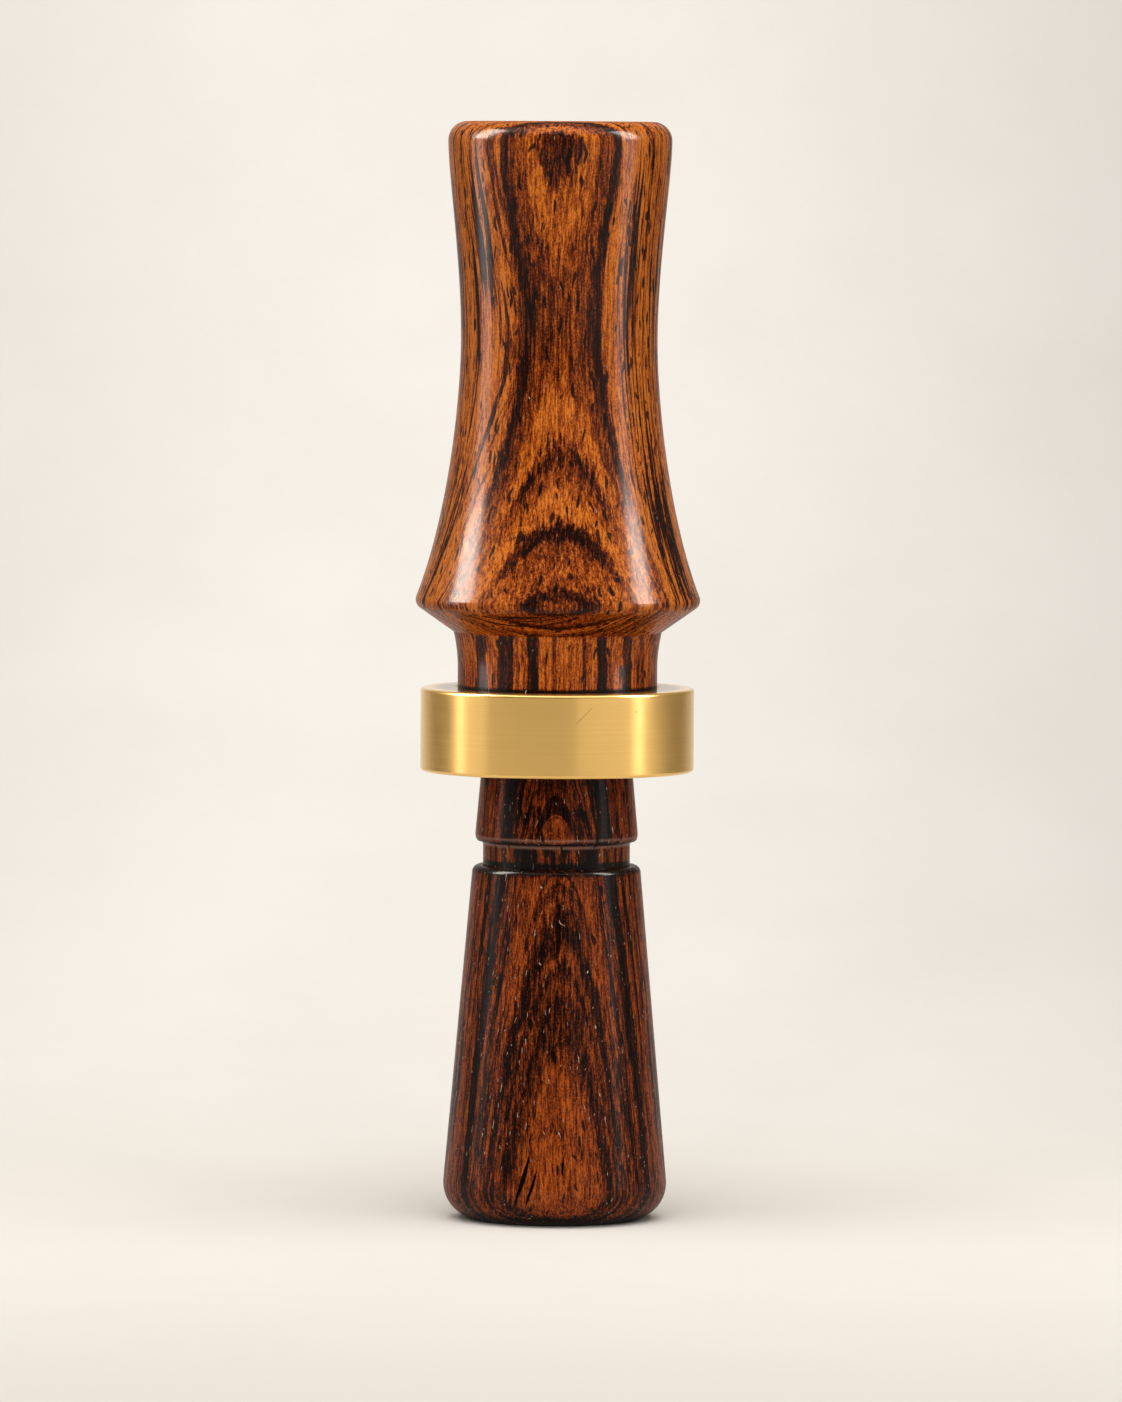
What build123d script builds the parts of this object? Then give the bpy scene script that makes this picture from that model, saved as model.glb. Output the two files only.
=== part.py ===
"""A turned duck call: a wooden barrel with a brass band, and a wooden insert that carries the sounding parts.

Millimetres. The call stands on its exhaust end: the origin is the middle of that end, +Z is the axis of the
call, and the reeds face -Y.
"""

import math
import os

from build123d import *

# The bore that the barrel and the insert share
bore_radius = 7.94

# Insert, outside: the foot is given where the cone would meet the exhaust face
foot_radius = 14.68
foot_round = 4.65
cone_length = 45.3
cone_step = 0.23
cone_edge_round = 0.9
lanyard_groove_width = 3.05
lanyard_groove_depth = 1.08
collar_length = 8.95
collar_flare = 0.8
collar_edge_round = 0.95
seat_land = 1.71

# Insert, the tenon and the bores from both ends
tenon_length = 16.0
tenon_chamfer = 0.5
tenon_wall = 1.41
socket_depth = 14.0
socket_step = 0.79
exhaust_step = 2.38
exhaust_depth = 24.0
exhaust_lip_round = 1.0

# Barrel, from its seat on the insert up to the mouth
band_length = 10.65
band_wall = 4.7
band_edge_round = 0.45
band_inner_chamfer = 0.5
neck_wall = 4.78
neck_straight = 2.4
neck_cove_length = 4.7
neck_cove_rise = 0.55
undercut_height = 3.6
shoulder_step = 5.13
shoulder_round = 1.2
flare_length = 33.65
flare_foot_angle = 22.0
flare_foot_handle = 12.0
flare_waist_handle = 7.0
waist_wall = 4.58
mouth_length = 27.7
swell_waist_handle = 10.2
swell_mouth_handle = 4.7
mouth_wall = 7.9
mouth_round = 2.4
mouth_step = 1.59
mouth_lip_round = 1.5
tip_room = 3.0

# Tone board
plug_wall = 1.84
slot_floor = 1.5
slot_depth = 10.0
stem_length = 35.0
bed_offset = 1.0
bed_angle = 1.3
tip_curve_length = 12.0
tip_curve_drop = 0.6
tip_round = 1.2
channel_end_wall = 5.0

# Reeds and their wedge
reed_side_margin = 1.0
reed_corner_round = 2.5
lower_reed_thickness = 0.36
lower_reed_setback = 1.6
upper_reed_thickness = 0.26
upper_reed_setback = 4.2
wedge_thickness = 3.0
wedge_side_margin = 0.25
wedge_stand_out = 1.2

# Seals
ring_section_radius = 0.86
ring_groove_margin = 0.25
lower_ring_height = 4.2
upper_ring_setback = 4.6

# Clearances between pieces
tenon_clearance = 0.2
seal_clearance = 0.03
press_clearance = 0.02
glue_clearance = 0.03
board_clearance = 0.64
film_clearance = 0.02
reed_end_clearance = 0.1

# The most of a wall that a rounded edge may take
round_limit = 0.9

# Levels along the axis
groove_top = cone_length + lanyard_groove_width
seat = groove_top + collar_length
band_top = seat + band_length
neck_top = band_top + neck_straight
cove_top = neck_top + neck_cove_length
shoulder_level = cove_top + undercut_height
waist_level = shoulder_level + flare_length
mouth_level = waist_level + mouth_length
swell_level = mouth_level - mouth_round
tenon_top = seat + tenon_length
socket_bottom = tenon_top - socket_depth
slot_bottom = tenon_top + slot_floor
slot_mouth = slot_bottom + slot_depth
stem_tip = slot_mouth + stem_length
chamber_top = stem_tip + tip_room
ring_levels = {
    "lower_o_ring": seat + lower_ring_height,
    "upper_o_ring": tenon_top - upper_ring_setback,
}

# Radii of the barrel
mouth_bore_radius = bore_radius - mouth_step
neck_radius = bore_radius + neck_wall
cove_radius = neck_radius + neck_cove_rise
shoulder_radius = cove_radius + shoulder_step
waist_radius = bore_radius + waist_wall
mouth_radius = mouth_bore_radius + mouth_wall
band_inner_radius = neck_radius + glue_clearance

# Radii of the insert and of what fits in it
collar_top_radius = bore_radius + seat_land
collar_foot_radius = collar_top_radius + collar_flare
cone_top_radius = collar_foot_radius + cone_step
lanyard_groove_radius = collar_foot_radius - lanyard_groove_depth
tenon_radius = bore_radius - tenon_clearance
ring_centre_radius = bore_radius - seal_clearance - ring_section_radius
ring_groove_radius = ring_centre_radius - ring_section_radius - press_clearance
ring_groove_width = 2 * (ring_section_radius + ring_groove_margin)
socket_radius = ring_groove_radius - tenon_wall
windway_radius = socket_radius - socket_step
exhaust_radius = windway_radius + exhaust_step
plug_radius = socket_radius - press_clearance
channel_radius = plug_radius - plug_wall
stem_radius = bore_radius - board_clearance

# The stack in the slot, counted from the axis towards the front
lower_reed_back = bed_offset + film_clearance
upper_reed_back = lower_reed_back + lower_reed_thickness + film_clearance
wedge_back = upper_reed_back + upper_reed_thickness + film_clearance
slot_roof = wedge_back + wedge_thickness + film_clearance
reed_width = 2 * (math.sqrt(stem_radius**2 - bed_offset**2) - reed_side_margin)
wedge_width = 2 * (math.sqrt(stem_radius**2 - slot_roof**2) - wedge_side_margin)

# The reed bed in side view: a straight slope that curves away before the tip
bed_slope = math.tan(math.radians(bed_angle))
curve_level = stem_tip - tip_curve_length
curve_start = (bed_slope * (curve_level - slot_bottom) - bed_offset, curve_level)
curve_end = (bed_slope * (stem_tip - slot_bottom) - bed_offset + tip_curve_drop, stem_tip)

# Rounded edges of the insert, held within their walls
foot_wall = foot_radius - exhaust_radius - exhaust_lip_round
foot_fillet = min(foot_round, round_limit * foot_wall)
cone_fillet = min(cone_edge_round, round_limit * (cone_top_radius - lanyard_groove_radius))
collar_fillet = min(collar_edge_round, round_limit * lanyard_groove_depth)

os.makedirs("parts", exist_ok=True)


def rings(turned):
    """Returns the full circles among the edges of a turned piece."""
    return turned.edges().filter_by(GeomType.CIRCLE).filter_by(lambda edge: edge.is_closed)


def outer_ring(turned, level):
    """Returns the widest full circle of a turned piece at one level of the axis."""
    return rings(turned).filter_by_position(Axis.Z, level, level).sort_by(SortBy.RADIUS)[-1]


def inner_ring(turned, level):
    """Returns the narrowest full circle of a turned piece at one level of the axis."""
    return rings(turned).filter_by_position(Axis.Z, level, level).sort_by(SortBy.RADIUS)[0]


# Barrel: a turned outline, bored for the insert from below and for the mouth from above
with BuildPart() as barrel:
    with BuildSketch(Plane.XZ):
        with BuildLine():
            Polyline((0, mouth_level), (0, seat), (neck_radius, seat), (neck_radius, neck_top))
            TangentArc((neck_radius, neck_top), (cove_radius, cove_top), tangent=(0, 1))
            Line((cove_radius, cove_top), (shoulder_radius, shoulder_level))
            foot_angle = math.radians(flare_foot_angle)
            Bezier(
                (shoulder_radius, shoulder_level),
                (
                    shoulder_radius - flare_foot_handle * math.sin(foot_angle),
                    shoulder_level + flare_foot_handle * math.cos(foot_angle),
                ),
                (waist_radius, waist_level - flare_waist_handle),
                (waist_radius, waist_level),
            )
            Bezier(
                (waist_radius, waist_level),
                (waist_radius, waist_level + swell_waist_handle),
                (mouth_radius, swell_level - swell_mouth_handle),
                (mouth_radius, swell_level),
            )
            CenterArc((mouth_radius - mouth_round, swell_level), mouth_round, 0, 90)
            Line((mouth_radius - mouth_round, mouth_level), (0, mouth_level))
        make_face()
    revolve(axis=Axis.Z)
    fillet(outer_ring(barrel, shoulder_level), shoulder_round)
    with BuildSketch(Plane.XZ):
        with BuildLine():
            Polyline(
                (0, seat),
                (bore_radius, seat),
                (bore_radius, chamber_top),
                (mouth_bore_radius, chamber_top + mouth_step),
                (mouth_bore_radius, mouth_level),
                (0, mouth_level),
                close=True,
            )
        make_face()
    revolve(axis=Axis.Z, mode=Mode.SUBTRACT)
    fillet(inner_ring(barrel, mouth_level), mouth_lip_round)
barrel.part.label = "barrel"
export_step(barrel.part, "parts/barrel.step")

# Band: a thick ring glued round the neck, flush with the end of the barrel
with BuildPart() as band:
    with BuildSketch(Plane.XY.offset(seat)):
        Circle(band_inner_radius + band_wall)
        Circle(band_inner_radius, mode=Mode.SUBTRACT)
    extrude(amount=band_length)
    fillet([outer_ring(band, seat), outer_ring(band, band_top)], band_edge_round)
    chamfer(inner_ring(band, band_top), band_inner_chamfer)
band.part.label = "band"
export_step(band.part, "parts/band.step")

# Insert: flared foot, lanyard groove, collar and the tenon that enters the barrel
with BuildPart() as insert:
    with BuildSketch(Plane.XZ):
        with BuildLine():
            Polyline(
                (0, 0),
                (foot_radius, 0),
                (cone_top_radius, cone_length),
                (lanyard_groove_radius, cone_length),
                (lanyard_groove_radius, groove_top),
                (collar_foot_radius, groove_top),
                (collar_top_radius, seat),
                (tenon_radius, seat),
                (tenon_radius, tenon_top),
                (0, tenon_top),
                close=True,
            )
        make_face()
    revolve(axis=Axis.Z)
    fillet(outer_ring(insert, 0), foot_fillet)
    fillet(outer_ring(insert, cone_length), cone_fillet)
    fillet(outer_ring(insert, groove_top), collar_fillet)
    chamfer(outer_ring(insert, tenon_top), tenon_chamfer)
    with BuildSketch(Plane.XZ):
        for ring_level in ring_levels.values():
            with Locations((tenon_radius, ring_level)):
                Rectangle(2 * (tenon_radius - ring_groove_radius), ring_groove_width)
    revolve(axis=Axis.Z, mode=Mode.SUBTRACT)
    with BuildSketch(Plane.XZ):
        with BuildLine():
            Polyline(
                (0, 0),
                (exhaust_radius, 0),
                (exhaust_radius, exhaust_depth),
                (windway_radius, exhaust_depth + exhaust_step),
                (windway_radius, socket_bottom),
                (socket_radius, socket_bottom),
                (socket_radius, tenon_top),
                (0, tenon_top),
                close=True,
            )
        make_face()
    revolve(axis=Axis.Z, mode=Mode.SUBTRACT)
    fillet(inner_ring(insert, 0), exhaust_lip_round)
insert.part.label = "insert"
export_step(insert.part, "parts/insert.step")

# Tone board: a round plug, a slotted block for reeds and wedge, and a half-round stem with a sound channel
with BuildPart() as tone_board:
    with BuildSketch(Plane.XY.offset(socket_bottom)):
        Circle(plug_radius)
    extrude(amount=socket_depth)
    with BuildSketch(Plane.XY.offset(tenon_top)):
        Circle(stem_radius)
    extrude(amount=stem_tip - tenon_top)
    with BuildSketch(Plane.YZ):
        with BuildLine():
            Line((-bed_offset, slot_bottom), curve_start)
            TangentArc(curve_start, curve_end, tangent=(bed_slope, 1))
            Polyline(
                curve_end,
                (-bore_radius, stem_tip),
                (-bore_radius, slot_mouth),
                (-slot_roof, slot_mouth),
                (-slot_roof, slot_bottom),
                (-bed_offset, slot_bottom),
            )
        make_face()
    extrude(amount=bore_radius, both=True, mode=Mode.SUBTRACT)
    with BuildSketch(Plane.XY.offset(socket_bottom)):
        Circle(channel_radius)
    extrude(amount=stem_tip - channel_end_wall - socket_bottom, mode=Mode.SUBTRACT)
    fillet(tone_board.edges().filter_by(GeomType.CIRCLE).group_by(Axis.Z)[-1], tip_round)
tone_board.part.label = "tone_board"
export_step(tone_board.part, "parts/tone_board.step")

# Reeds: two thin films that lie on the board and end in the slot
reed_layers = {
    "lower_reed": (lower_reed_back, lower_reed_thickness, lower_reed_setback),
    "upper_reed": (upper_reed_back, upper_reed_thickness, upper_reed_setback),
}
for reed_name, (reed_back, reed_thickness, reed_setback) in reed_layers.items():
    reed_start = slot_bottom + reed_end_clearance
    reed_end = stem_tip - reed_setback
    with BuildPart() as reed:
        with BuildSketch(Plane.XZ.offset(reed_back)) as reed_outline:
            with Locations((0, (reed_start + reed_end) / 2)):
                Rectangle(reed_width, reed_end - reed_start)
            fillet(reed_outline.vertices().group_by(Axis.Z)[-1], reed_corner_round)
        extrude(amount=reed_thickness)
    reed.part.label = reed_name
    export_step(reed.part, f"parts/{reed_name}.step")

# Wedge: the block that presses both reeds on the board and stands out of the slot for the fingers
with BuildPart() as wedge:
    with BuildSketch(Plane.XY.offset(slot_bottom)):
        with Locations((0, -wedge_back - wedge_thickness / 2)):
            Rectangle(wedge_width, wedge_thickness)
    extrude(amount=slot_depth + wedge_stand_out)
wedge.part.label = "wedge"
export_step(wedge.part, "parts/wedge.step")

# Seals: two rings in the grooves of the tenon
for ring_name, ring_level in ring_levels.items():
    with BuildPart() as o_ring:
        with BuildSketch(Plane.XZ):
            with Locations((ring_centre_radius, ring_level)):
                Circle(ring_section_radius)
        revolve(axis=Axis.Z)
    o_ring.part.label = ring_name
    export_step(o_ring.part, f"parts/{ring_name}.step")
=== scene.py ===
"""Turned duck call with a brass band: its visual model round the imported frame, in a pale studio.

Sizes in the dataclasses are millimetres, as in the part's source. The meshes are in metres, as in the frame.
"""

import logging
import math
import random
from dataclasses import dataclass, field
from enum import Enum
from typing import Any

import bmesh
import bpy
from mathutils import Matrix, Vector
from mathutils.geometry import interpolate_bezier


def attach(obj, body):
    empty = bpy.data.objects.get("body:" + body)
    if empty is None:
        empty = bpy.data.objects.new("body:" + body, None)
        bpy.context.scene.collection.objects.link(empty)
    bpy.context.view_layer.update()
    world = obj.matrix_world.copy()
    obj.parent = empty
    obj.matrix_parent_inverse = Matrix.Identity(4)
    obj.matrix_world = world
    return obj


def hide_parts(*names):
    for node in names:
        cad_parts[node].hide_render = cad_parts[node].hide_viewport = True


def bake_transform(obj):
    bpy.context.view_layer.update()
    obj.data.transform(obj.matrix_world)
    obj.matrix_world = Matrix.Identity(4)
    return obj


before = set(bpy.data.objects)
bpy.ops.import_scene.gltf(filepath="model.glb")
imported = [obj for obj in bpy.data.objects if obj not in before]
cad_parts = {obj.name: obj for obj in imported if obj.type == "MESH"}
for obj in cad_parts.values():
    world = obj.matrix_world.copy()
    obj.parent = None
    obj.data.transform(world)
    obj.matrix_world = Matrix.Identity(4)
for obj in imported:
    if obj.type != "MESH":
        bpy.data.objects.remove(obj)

log = logging.getLogger("duck_call")

MM = 0.001
PER_METRE = 1000.0
MILLIMETRES = (PER_METRE,) * 3
TURN_STEPS = 224
SHARP_ANGLE = math.radians(40)
MERGE_DISTANCE = 1e-7
CURVE_CLEARANCE = 1.5
FEWEST_SEGMENTS = 5
SEGMENTS_PER_MM = 4
SCREEN_FULL = 255
SCREEN_TOE = 0.04045
SCREEN_SLOPE = 12.92
SCREEN_OFFSET = 0.055
SCREEN_POWER = 2.4

Pair = tuple[float, float]
Triple = tuple[float, float, float]
Colour = tuple[float, float, float, float]
Value = Any
Sockets = dict[str, bpy.types.NodeSocket]


def tone(red: int, green: int, blue: int) -> Colour:
    """Turns a colour as it shows on a screen into a linear one.

    Args:
        red: Red, 0 to 255.
        green: Green, 0 to 255.
        blue: Blue, 0 to 255.

    Returns:
        The linear colour with full alpha.
    """
    linear = []
    for channel in (red, green, blue):
        shown = channel / SCREEN_FULL
        if shown <= SCREEN_TOE:
            linear.append(shown / SCREEN_SLOPE)
        else:
            linear.append(((shown + SCREEN_OFFSET) / (1 + SCREEN_OFFSET)) ** SCREEN_POWER)
    return (*linear, 1.0)


@dataclass(frozen=True)
class Noise:
    """A noise: how often it changes along each axis, its detail and its roughness."""

    scale: Triple
    detail: float = 2.0
    roughness: float = 0.5


class Graph:
    """Writes nodes into the node tree of a material, a world or a group."""

    def __init__(self, tree: bpy.types.NodeTree) -> None:
        """Keeps the tree that is written to."""
        self.tree = tree

    def feed(self, socket: bpy.types.NodeSocket, value: Value) -> None:
        """Links an output to a socket, or sets the socket to a constant.

        Args:
            socket: The input to feed.
            value: An output socket or a plain value.
        """
        if isinstance(value, bpy.types.NodeSocket):
            self.tree.links.new(value, socket)
        else:
            socket.default_value = value

    def add(self, kind: str, settings: dict[str, Value], inputs: dict[str | int, Value]) -> bpy.types.Node:
        """Adds a node.

        Args:
            kind: The node's type.
            settings: Properties of the node itself.
            inputs: What goes into its sockets, by name or number.

        Returns:
            The new node.
        """
        node = self.tree.nodes.new(kind)
        for name, value in settings.items():
            setattr(node, name, value)
        for name, value in inputs.items():
            self.feed(node.inputs[name], value)
        return node

    def math(self, operation: str, first: Value, second: Value = 0.0) -> bpy.types.NodeSocket:
        """Returns the result of a calculation on one or two values."""
        node = self.add("ShaderNodeMath", {"operation": operation}, {0: first, 1: second})
        return node.outputs[0]

    def span(
        self, value: Value, start: float, end: float, low: Value = 0.0, high: Value = 1.0
    ) -> bpy.types.NodeSocket:
        """Maps a range smoothly onto another one.

        Args:
            value: The value to map.
            start: Where the range begins.
            end: Where it ends.
            low: The result at the beginning.
            high: The result at the end.

        Returns:
            The mapped value, held within the new range.
        """
        inputs = {"Value": value, "From Min": start, "From Max": end, "To Min": low, "To Max": high}
        return self.add("ShaderNodeMapRange", {"interpolation_type": "SMOOTHSTEP"}, inputs).outputs[0]

    def mix(self, factor: Value, first: Value, second: Value) -> bpy.types.NodeSocket:
        """Returns a colour between two colours."""
        inputs = {"Factor": factor, 6: first, 7: second}
        return self.add("ShaderNodeMix", {"data_type": "RGBA"}, inputs).outputs[2]

    def stretch(self, vector: Value, scale: Triple) -> bpy.types.NodeSocket:
        """Returns a vector multiplied by a scale for each axis."""
        return self.add("ShaderNodeVectorMath", {"operation": "MULTIPLY"}, {0: vector, 1: scale}).outputs[0]

    def noise(self, vector: Value, detail: float, roughness: float) -> bpy.types.NodeSocket:
        """Returns noise of one unit in size at a vector."""
        inputs = {"Vector": vector, "Scale": 1.0, "Detail": detail, "Roughness": roughness}
        return self.add("ShaderNodeTexNoise", {}, inputs).outputs[0]

    def scaled(self, vector: Value, noise: Noise) -> bpy.types.NodeSocket:
        """Returns a noise of its own size at a vector."""
        return self.noise(self.stretch(vector, noise.scale), noise.detail, noise.roughness)

    def cells(self, vector: Value) -> tuple[bpy.types.NodeSocket, bpy.types.NodeSocket]:
        """Returns the distance from the cells' middles and a chance value for each cell, at a vector."""
        node = self.add("ShaderNodeTexVoronoi", {}, {"Vector": vector, "Scale": 1.0})
        return node.outputs["Distance"], self.axes(node.outputs["Color"])[0]

    def ramp(self, value: Value, stops: list[tuple[float, Colour]]) -> bpy.types.NodeSocket:
        """Runs a value through a row of colours.

        Args:
            value: A value from 0 to 1.
            stops: Places and colours, in rising order.

        Returns:
            The colour at the value.
        """
        node = self.add("ShaderNodeValToRGB", {}, {0: value})
        elements = node.color_ramp.elements
        elements[0].position, elements[0].color = stops[0]
        elements[-1].position, elements[-1].color = stops[-1]
        for place, colour in stops[1:-1]:
            elements.new(place).color = colour
        return node.outputs[0]

    def place(self) -> bpy.types.NodeSocket:
        """Returns the point on the piece, in its own coordinates."""
        return self.add("ShaderNodeTexCoord", {}, {}).outputs["Object"]

    def apart(self, value: Value, middle: float) -> bpy.types.NodeSocket:
        """Returns how far a value is from a middle."""
        return self.math("ABSOLUTE", self.math("SUBTRACT", value, middle))

    def axes(self, vector: Value) -> tuple[bpy.types.NodeSocket, ...]:
        """Returns the three parts of a vector."""
        return tuple(self.add("ShaderNodeSeparateXYZ", {}, {0: vector}).outputs)

    def join(self, across: Value, deep: Value, along: Value) -> bpy.types.NodeSocket:
        """Returns a vector made from three values."""
        return self.add("ShaderNodeCombineXYZ", {}, {0: across, 1: deep, 2: along}).outputs[0]

    def bump(self, height: Value, strength: float, distance: float) -> bpy.types.NodeSocket:
        """Returns a normal that a height has bent."""
        inputs = {"Height": height, "Strength": strength, "Distance": distance}
        return self.add("ShaderNodeBump", {}, inputs).outputs[0]

    def group(self, tree: bpy.types.NodeTree, inputs: dict[str | int, Value]) -> bpy.types.Node:
        """Adds a node group and returns its node."""
        return self.add("ShaderNodeGroup", {"node_tree": tree}, inputs)


def new_group(name: str, inputs: dict[str, str], outputs: dict[str, str]) -> tuple[Graph, Sockets, Sockets]:
    """Starts a shader node group.

    Args:
        name: The group's name.
        inputs: Names of its inputs and their socket kinds.
        outputs: Names of its outputs and their socket kinds.

    Returns:
        The graph to write in, the sockets that bring the inputs and the sockets that take the outputs.
    """
    tree = bpy.data.node_groups.new(name, "ShaderNodeTree")
    for direction, sockets in (("INPUT", inputs), ("OUTPUT", outputs)):
        for label, kind in sockets.items():
            tree.interface.new_socket(label, in_out=direction, socket_type=kind)
    graph = Graph(tree)
    start = graph.add("NodeGroupInput", {}, {})
    end = graph.add("NodeGroupOutput", {}, {})
    given = {label: start.outputs[label] for label in inputs}
    result = {label: end.inputs[label] for label in outputs}
    return graph, given, result


def new_material(name: str) -> tuple[bpy.types.Material, Graph, bpy.types.Node]:
    """Starts a material with one shader on its output.

    Args:
        name: The material's name.

    Returns:
        The material, the graph to write in and the shader's node.
    """
    material = bpy.data.materials.new(name)
    material.use_nodes = True
    material.node_tree.nodes.clear()
    graph = Graph(material.node_tree)
    surface = graph.add("ShaderNodeBsdfPrincipled", {}, {})
    graph.add("ShaderNodeOutputMaterial", {}, {"Surface": surface.outputs[0]})
    return material, graph, surface


FLOAT = "NodeSocketFloat"
VECTOR = "NodeSocketVector"
NOISE_MIDDLE = 0.5
NOISE_CORE = (0.35, 0.65)
NOISE_BODY = (0.3, 0.7)
NOISE_REACH = (0.2, 0.8)
LAYER_SWAY = Noise((0.09, 0.09, 0.03), 1.0)
LAYER_SWAY_DEPTH = 0.25
LAYER_TEARS = Noise((1.9, 1.9, 0.16), 4.0, 0.68)
FIGURE_NOISES = {
    "Fibre": Noise((5.0, 5.0, 0.45), 4.0, 0.72),
    "Streaks": Noise((2.4, 2.4, 0.09), 2.0, 0.6),
    "Grain": Noise((5.2, 5.2, 3.4), 2.0, 0.7),
}
PORE_SWERVE = Noise((0.5, 0.5, 0.35), 1.0)
PORE_SWERVE_WIDTH = 0.5
PORE_EDGE = (0.05, 0.35)
SMALLEST_PORE = 0.0001
SPECK_SCALE = (0.3, 0.3, 0.3)
SPECK_CHANCE = (0.72, 0.74)
SPECK_EDGE = (0.07, 0.04)
CLOUDS = Noise((0.4, 0.4, 0.4), 4.0)
CLOUD_EDGE = (0.35, 0.7)


def wood_figure() -> bpy.types.NodeTree:
    """Makes the group that finds how deep a point lies in the growth layers of the wood.

    Returns:
        The group. Depth is in mm from the axis towards the front, and Smooth is that without its torn edges.
        Fibre, Streaks and Grain run from 0 to 1.
    """
    inputs = {"Place": VECTOR, "Level": FLOAT, "Lean": FLOAT, "Ragged": FLOAT}
    outputs = {"Depth": FLOAT, "Smooth": FLOAT, **{label: FLOAT for label in FIGURE_NOISES}}
    graph, given, result = new_group("wood_figure", inputs, outputs)
    millimetres = graph.stretch(given["Place"], MILLIMETRES)
    _, deep, along = graph.axes(millimetres)
    leaning = graph.math("MULTIPLY", graph.math("SUBTRACT", along, given["Level"]), given["Lean"])
    depth = graph.math("MULTIPLY", graph.math("ADD", deep, leaning), -1.0)
    sway = graph.scaled(millimetres, LAYER_SWAY)
    depth = graph.math("ADD", depth, graph.span(sway, *NOISE_REACH, -LAYER_SWAY_DEPTH, LAYER_SWAY_DEPTH))
    graph.feed(result["Smooth"], depth)
    tears = graph.math("SUBTRACT", graph.scaled(millimetres, LAYER_TEARS), NOISE_MIDDLE)
    torn = graph.math("MULTIPLY", tears, given["Ragged"])
    graph.feed(result["Depth"], graph.math("ADD", depth, torn))
    for label, noise in FIGURE_NOISES.items():
        graph.feed(result[label], graph.span(graph.scaled(millimetres, noise), *NOISE_CORE))
    return graph.tree


def open_pores() -> bpy.types.NodeTree:
    """Makes the group that marks the short pores along the grain.

    Returns:
        The group. Pores is 1 in a pore and 0 between them; Share is how many of the places have one.
    """
    inputs = {"Place": VECTOR, "Width": FLOAT, "Length": FLOAT, "Size": FLOAT, "Share": FLOAT}
    graph, given, result = new_group("open_pores", inputs, {"Pores": FLOAT})
    millimetres = graph.stretch(given["Place"], MILLIMETRES)
    across, deep, along = graph.axes(millimetres)
    swerve = graph.scaled(millimetres, PORE_SWERVE)
    swerve = graph.span(swerve, *NOISE_REACH, -PORE_SWERVE_WIDTH, PORE_SWERVE_WIDTH)
    across = graph.math("ADD", across, swerve)
    across = graph.math("DIVIDE", across, given["Width"])
    deep = graph.math("DIVIDE", deep, given["Width"])
    along = graph.math("DIVIDE", along, given["Length"])
    distance, chance = graph.cells(graph.join(across, deep, along))
    reach = graph.math("DIVIDE", graph.math("SUBTRACT", given["Share"], chance), given["Share"])
    reach = graph.math("SQRT", graph.math("MAXIMUM", reach, SMALLEST_PORE))
    reach = graph.math("MULTIPLY", reach, given["Size"])
    inside = graph.math("DIVIDE", graph.math("SUBTRACT", reach, distance), reach)
    graph.feed(result["Pores"], graph.span(inside, *PORE_EDGE))
    return graph.tree


def fine_dust() -> bpy.types.NodeTree:
    """Makes the group that marks stray specks and faint clouds on a handled surface.

    Returns:
        The group. Specks and Cloud run from 0 to 1.
    """
    graph, given, result = new_group("fine_dust", {"Place": VECTOR}, {"Specks": FLOAT, "Cloud": FLOAT})
    millimetres = graph.stretch(given["Place"], MILLIMETRES)
    distance, chance = graph.cells(graph.stretch(millimetres, SPECK_SCALE))
    rare = graph.span(chance, *SPECK_CHANCE)
    graph.feed(result["Specks"], graph.math("MULTIPLY", graph.span(distance, *SPECK_EDGE), rare))
    graph.feed(result["Cloud"], graph.span(graph.scaled(millimetres, CLOUDS), *CLOUD_EDGE))
    return graph.tree


class Groups:
    """The node groups that several finishes share."""

    def __init__(self) -> None:
        """Makes each group once."""
        self.figure = wood_figure()
        self.pores = open_pores()
        self.dust = fine_dust()


LAYER_SPAN = 20.0


@dataclass(frozen=True)
class Pores:
    """Pores of one kind: their spacing in mm, their size and how many of the places have one."""

    width: float
    length: float
    size: float
    share: float

    def mask(self, graph: Graph, groups: Groups, place: Value) -> bpy.types.NodeSocket:
        """Returns a mask that is 1 in the pores."""
        inputs = {"Width": self.width, "Length": self.length, "Size": self.size, "Share": self.share}
        return graph.group(groups.pores, {"Place": place, **inputs}).outputs["Pores"]


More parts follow.
